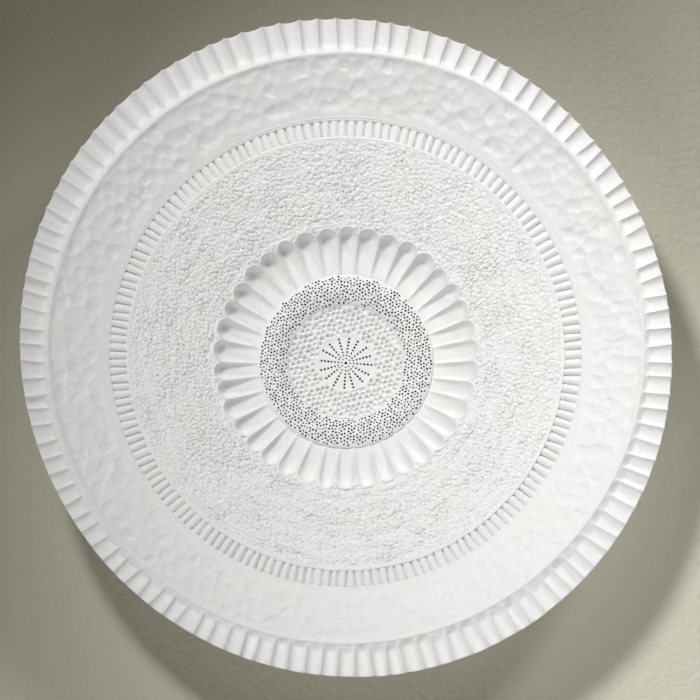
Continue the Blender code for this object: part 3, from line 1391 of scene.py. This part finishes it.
@dataclass(frozen=True)
class ClayFinish:
    """Matt, unglazed pale clay with a fine tooth, faint warm and cool patches, rare specks, and painted shade
    in its holes.
    """

    warm: Colour = (0.836, 0.824, 0.808)
    cool: Colour = (0.822, 0.823, 0.823)
    speck: Colour = (0.34, 0.31, 0.27)
    # Painted shade: the colour that the inside of each pricked hole is darkened towards, near black.
    pit_shade: Colour = (0.016, 0.015, 0.013)
    patches_per_metre: float = 22.0
    mottles_per_metre: float = 420.0
    specks_per_metre: float = 85.0
    tooth_size: float = 0.0004
    tooth_depth: float = 0.00006
    tooth_strength: float = 0.55
    sheen: float = 0.25

    def make(self) -> bpy.types.Material:
        """Build the node material.

        Returns:
            The material, which reads Object coordinates and the attribute of painted shade in the holes.
        """
        clay = Recipe("pale_clay")
        patches = clay.spread(clay.noise(self.patches_per_metre, 3.0), 0.38, 0.62)
        mottle = clay.noise(self.mottles_per_metre, 2.0)
        shade = clay.spread(mottle, 0.3, 0.7, 0.965, 1.02)
        inputs = {0: clay.mix(patches, self.cool, self.warm), "Scale": shade}
        colour = clay.add("ShaderNodeVectorMath", inputs, operation="SCALE").outputs["Vector"]
        cells = clay.add("ShaderNodeTexVoronoi", {"Vector": clay.place, "Scale": self.specks_per_metre})
        near = clay.spread(cells.outputs["Distance"], 0.028, 0.045, 1.0, 0.0)
        chance = clay.add("ShaderNodeSeparateColor", {"Color": cells.outputs["Color"]}).outputs["Red"]
        inputs = {0: near, 1: clay.spread(chance, 0.86, 0.87, 0.0, 0.8)}
        specks = clay.add("ShaderNodeMath", inputs, operation="MULTIPLY").outputs["Value"]
        # Painted shade: the clay is mixed towards near black inside the holes, darkest at their bottoms.
        pit_shades = clay.add("ShaderNodeAttribute", {}, attribute_name="pit_shade").outputs["Fac"]
        colour = clay.mix(pit_shades, clay.mix(specks, colour, self.speck), self.pit_shade)
        roughness = clay.spread(mottle, 0.3, 0.7, 0.80, 0.92)
        clay.fill(clay.shader, {"Base Color": colour, "Roughness": roughness,
                                "Specular IOR Level": self.sheen})
        clay.roughen(clay.noise(1.0 / self.tooth_size, 4.0), self.tooth_strength, self.tooth_depth)
        return clay.material


@dataclass(frozen=True)
class StageFinish:
    """Plain matt paint for the wall or the floor, which shows from its front only."""

    name: str
    dark: Colour
    light: Colour
    stipple: float
    roughness: float = 0.8
    sheen: float = 0.2

    def shade(self, paint: Recipe) -> Socket:
        """Share of the light paint at each place, in faint patches."""
        return paint.noise(1.6, 2.0)

    def make(self) -> bpy.types.Material:
        """Build the node material, clear from behind so that the back views stay open.

        Returns:
            The material.
        """
        paint = Recipe(self.name)
        colour = paint.mix(self.shade(paint), self.dark, self.light)
        paint.fill(paint.shader, {"Base Color": colour, "Roughness": self.roughness,
                                  "Specular IOR Level": self.sheen})
        paint.roughen(paint.noise(240.0, 5.0), 0.5, self.stipple)
        behind = paint.add("ShaderNodeNewGeometry", {}).outputs["Backfacing"]
        clear = paint.add("ShaderNodeBsdfTransparent", {}).outputs["BSDF"]
        sides = {"Fac": behind, 1: paint.shader.outputs["BSDF"], 2: clear}
        shown = paint.add("ShaderNodeMixShader", sides).outputs["Shader"]
        paint.fill(paint.tree.nodes["Material Output"], {"Surface": shown})
        return paint.material


@dataclass(frozen=True)
class PaintedLightFinish(StageFinish):
    """Matt paint with painted light: paler towards the lower right and darker towards the upper left, behind
    the disc.
    """

    slope: Place = (0.37, -0.93, 0.0)
    middle: float = 0.93 * 2.8
    reach: float = 0.27

    def shade(self, paint: Recipe) -> Socket:
        """Share of the light paint at each place, along one slope: painted light, brighter towards the lower
        right.

        Args:
            paint: The paint in the making.

        Returns:
            The share, from 0 to 1.
        """
        # Painted light: the paint grows paler along this slope, towards the lower right.
        inputs = {0: paint.place, 1: self.slope}
        along = paint.add("ShaderNodeVectorMath", inputs, operation="DOT_PRODUCT").outputs["Value"]
        return paint.spread(along, self.middle - self.reach, self.middle + self.reach)


@dataclass(frozen=True)
class Camera:
    """The camera below the disc's middle, a long way off, looking a little up at it."""

    lens: float = 400.0
    sensor: float = 36.0
    half_frame: float = 0.211
    look_up: float = math.radians(12.0)
    aside: float = 0.0025
    below: float = 0.0038

    def place(self) -> None:
        """Add the camera and use it."""
        data = bpy.data.cameras.new("camera")
        data.lens = self.lens
        data.sensor_width = self.sensor
        data.clip_end = 50.0
        camera = bpy.data.objects.new("camera", data)
        bpy.context.scene.collection.objects.link(camera)
        far = self.half_frame / (0.5 * self.sensor / self.lens)
        camera.location = (self.aside, -DISC.rim_top - far * math.cos(self.look_up),
                           -self.below - far * math.sin(self.look_up))
        camera.rotation_euler = (math.radians(90.0) + self.look_up, 0.0, 0.0)
        bpy.context.scene.camera = camera


@dataclass(frozen=True)
class SoftLight:
    """One soft round light: its place, its size, how strong it is and what it looks at."""

    name: str
    place: Place
    size: float
    power: float
    colour: Colour = (1.0, 1.0, 1.0)
    aim: Place = (0.0, 0.0, 0.0)

    def lamp(self) -> bpy.types.Light:
        """The lamp, an even disc.

        Returns:
            The lamp.
        """
        data = bpy.data.lights.new(self.name, "AREA")
        data.shape = "DISK"
        data.size = self.size
        return data

    def hang(self) -> None:
        """Add the light at its place, turned to its aim."""
        data = self.lamp()
        data.energy = self.power
        data.color = self.colour
        light = bpy.data.objects.new(self.name, data)
        bpy.context.scene.collection.objects.link(light)
        light.location = self.place
        towards = Vector(self.aim) - Vector(self.place)
        light.rotation_euler = towards.to_track_quat("-Z", "Y").to_euler()


@dataclass(frozen=True)
class SoftBeam(SoftLight):
    """One soft beam, strongest where it is aimed and fading away around that."""

    spread: float = 1.0

    def lamp(self) -> bpy.types.Light:
        """The lamp, whose beam has this spread at the aim.

        Returns:
            The lamp.
        """
        data = bpy.data.lights.new(self.name, "SPOT")
        data.spot_size = 2.0 * math.atan(self.spread / math.dist(self.place, self.aim))
        data.spot_blend = 1.0
        data.shadow_soft_size = 0.5 * self.size
        return data


@dataclass(frozen=True)
class Studio:
    """The wall, with painted light across it, the plain floor, the lights and the camera."""

    wall_gap: float = 0.0002
    floor_drop: float = 3.2
    reach: float = 12.0
    key: SoftBeam = SoftBeam("key", (-0.86, -2.38, 1.52), 0.50, 304.0, (1.0, 1.0, 0.99),
                             aim=(0.36, 0.0, 0.02), spread=0.82)
    side: SoftBeam = SoftBeam("side", (1.62, -1.85, 1.72), 0.6, 112.0, aim=(0.25, 0.0, -0.08), spread=0.85)
    fill: SoftLight = SoftLight("fill", (-0.60, -1.50, -2.50), 1.2, 28.0, (1.0, 1.0, 0.99))
    rear: SoftLight = SoftLight("rear", (0.9, 2.6, 1.4), 1.6, 55.0)
    ambient: Colour = (0.90, 0.90, 0.92)
    ambient_strength: float = 0.04
    # Painted light: the wall's paint runs from its dark colour at the upper left to its pale colour at the
    # lower right.
    wall: StageFinish = PaintedLightFinish("wall_paint_painted_light", (0.180, 0.172, 0.128), (0.620, 0.603, 0.490), 0.0022)
    floor: StageFinish = StageFinish("floor_paint", (0.62, 0.61, 0.58), (0.66, 0.65, 0.62), 0.0001)

    def plane(self, name: str, place: Place, tilt: float, finish: StageFinish) -> None:
        """Add one plain surface of the stage.

        Args:
            name: Name of the surface.
            place: Its centre.
            tilt: Turn about X, in radians.
            finish: Its paint.
        """
        bpy.ops.object.select_all(action="DESELECT")
        bpy.ops.mesh.primitive_plane_add(size=self.reach, location=place, rotation=(tilt, 0.0, 0.0))
        surface = bpy.context.active_object
        surface.name = name
        surface.data.materials.append(finish.make())
        surface.visible_shadow = False

    def build(self) -> None:
        """Set up the whole studio."""
        self.plane("wall", (0.0, self.wall_gap, 0.5 * self.reach - self.floor_drop), math.radians(90.0),
                   self.wall)
        self.plane("floor", (0.0, self.wall_gap - 0.5 * self.reach, -self.floor_drop), 0.0, self.floor)
        for light in (self.key, self.side, self.fill, self.rear):
            light.hang()
        world = bpy.data.worlds.new("room")
        world.use_nodes = True
        sky = world.node_tree.nodes["Background"]
        sky.inputs["Color"].default_value = (*self.ambient, 1.0)
        sky.inputs["Strength"].default_value = self.ambient_strength
        scene = bpy.context.scene
        scene.world = world
        scene.view_settings.view_transform = "Standard"
        Camera().place()


def corners(box: tuple) -> list[list[float]]:
    """Lowest and highest corner of a box as plain lists."""
    return [[float(value) for value in corner] for corner in box]


def main() -> None:
    """Build every ring of the disc, dress it, and set up the studio."""
    logging.basicConfig(level=logging.INFO, format="%(name)s: %(message)s")
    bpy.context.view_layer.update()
    split = 0.5 * (DISC.petal_outer + DISC.margin_width + DISC.grained_outer) - 0.001
    bands = [
        RimFlutes(),
        HammeredSlope(),
        ReedRing(),
        GrainedField("grained_field_outer", inner=split, outer=DISC.grained_outer),
        GrainedField("grained_field_inner", inner=DISC.petal_outer + DISC.margin_width, outer=split),
        PetalRing(),
        DimpledHollow(),
        PrickedRing(),
        Medallion(),
    ]
    clay = ClayFinish().make()
    for band in bands:
        piece = band.build()
        piece.data.materials.clear()
        piece.data.materials.append(clay)
        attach(piece, BODY)
        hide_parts(NODE)
        triangles = sum(len(face.vertices) - 2 for face in piece.data.polygons)
        LOG.info("%s: %d triangles", piece.name, triangles)
    Studio().build()


if __name__ == "__main__":
    main()
